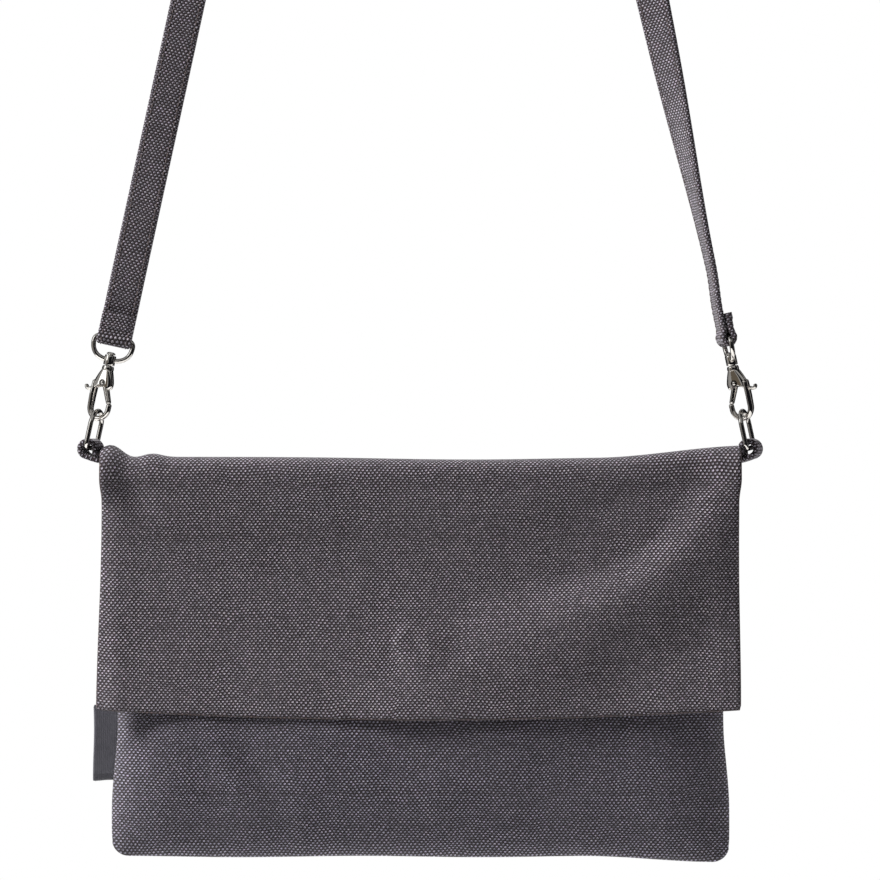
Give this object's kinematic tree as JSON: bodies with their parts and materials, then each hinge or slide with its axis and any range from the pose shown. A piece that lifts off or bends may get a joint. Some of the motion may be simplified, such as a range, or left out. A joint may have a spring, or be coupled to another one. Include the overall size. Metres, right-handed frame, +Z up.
{
  "type": "crossbody bag",
  "caption": "Flat fold-over canvas crossbody bag: a pouch under a wide flap with a magnetic snap, on a long flat strap clipped to side rings by swivel snap hooks.",
  "frame": {"origin": "underside of the strap at its top, where a peg or a shoulder carries the bag", "axes": "+Z up along the hanging bag, +Y from the flap's face to the back, +X to the right seen from the front"},
  "size_m": [0.3034, 0.02, 0.8121],
  "materials": {
    "canvas": "heathered plain-weave canvas",
    "lining": "smooth cotton with plain stripes",
    "ribbon": "smooth bare woven ribbon",
    "nickel": "polished nickel plate",
    "ferrite": "ground ferrite magnet",
    "spring_steel": "drawn spring wire"
  },
  "bodies": {
    "strap": {"strap": "canvas"},
    "bag": {"back_panel": "canvas", "front_panel": "canvas", "back_lining": "lining", "front_lining": "lining", "flap_fold": "canvas", "fold_lining": "lining", "socket_shell": "nickel", "socket_magnet": "ferrite", "socket_base": "nickel", "socket_washer": "nickel", "side_label": "ribbon", "left_tab": "canvas", "right_tab": "canvas"},
    "flap": {"flap_canvas": "canvas", "flap_lining": "lining", "stud_washer": "nickel", "snap_stud": "nickel"},
    "left_eye": {"left_strap_eye": "nickel"},
    "left_hook": {"left_hook": "nickel", "left_gate_pin": "nickel", "left_gate_spring": "spring_steel"},
    "left_gate": {"left_gate": "nickel"},
    "left_ring": {"left_ring": "nickel"},
    "right_eye": {"right_strap_eye": "nickel"},
    "right_hook": {"right_hook": "nickel", "right_gate_pin": "nickel", "right_gate_spring": "spring_steel"},
    "right_gate": {"right_gate": "nickel"},
    "right_ring": {"right_ring": "nickel"}
  },
  "joints": [
    {"name": "bag_swing", "type": "hinge", "parent": "strap", "child": "bag", "pos_m": [0, 0, -0.6131], "axis": [1, 0, 0], "range_deg": [-10, 10]},
    {"name": "flap_fold", "type": "hinge", "parent": "bag", "child": "flap", "pos_m": [0, 0, -0.64048], "axis": [-1, 0, 0], "range_deg": [0, 140], "deforming": ["flap_fold", "fold_lining"]},
    {"name": "left_eye_pivot", "type": "hinge", "parent": "strap", "child": "left_eye", "pos_m": [-0.13817, 0, -0.57685], "axis": [0.977, 0, -0.2131], "range_deg": [-0.6, 0.6]},
    {"name": "left_hook_swivel", "type": "hinge", "parent": "left_eye", "child": "left_hook", "pos_m": [-0.14086, 0, -0.58916], "axis": [0.2131, 0, 0.977], "range_deg": [-1, 10]},
    {"name": "left_gate_open", "type": "hinge", "parent": "left_hook", "child": "left_gate", "pos_m": [-0.14261, 0, -0.59717], "axis": [0.4885, 0.866, -0.1065], "range_deg": [0, 22], "stiffness_Nm_per_rad": 0.005, "springref_deg": -11.46, "deforming": ["left_gate_spring"]},
    {"name": "left_ring_pivot", "type": "hinge", "parent": "bag", "child": "left_ring", "pos_m": [-0.149, 0, -0.62648], "axis": [0, 1, 0], "range_deg": [-0.8, 0.8]},
    {"name": "right_eye_pivot", "type": "hinge", "parent": "strap", "child": "right_eye", "pos_m": [0.13817, 0, -0.57685], "axis": [0, 1, 0], "range_deg": [-0.6, 0.6]},
    {"name": "right_hook_swivel", "type": "hinge", "parent": "right_eye", "child": "right_hook", "pos_m": [0.14086, 0, -0.58916], "axis": [-0.2131, 0, 0.977], "range_deg": [-1, 10]},
    {"name": "right_gate_open", "type": "hinge", "parent": "right_hook", "child": "right_gate", "pos_m": [0.14261, 0, -0.59717], "axis": [-0.4885, -0.866, -0.1065], "range_deg": [0, 22], "stiffness_Nm_per_rad": 0.005, "springref_deg": -11.46, "deforming": ["right_gate_spring"]},
    {"name": "right_ring_pivot", "type": "hinge", "parent": "bag", "child": "right_ring", "pos_m": [0.149, 0, -0.62648], "axis": [0, 1, 0], "range_deg": [-0.8, 0.8]}
  ]
}
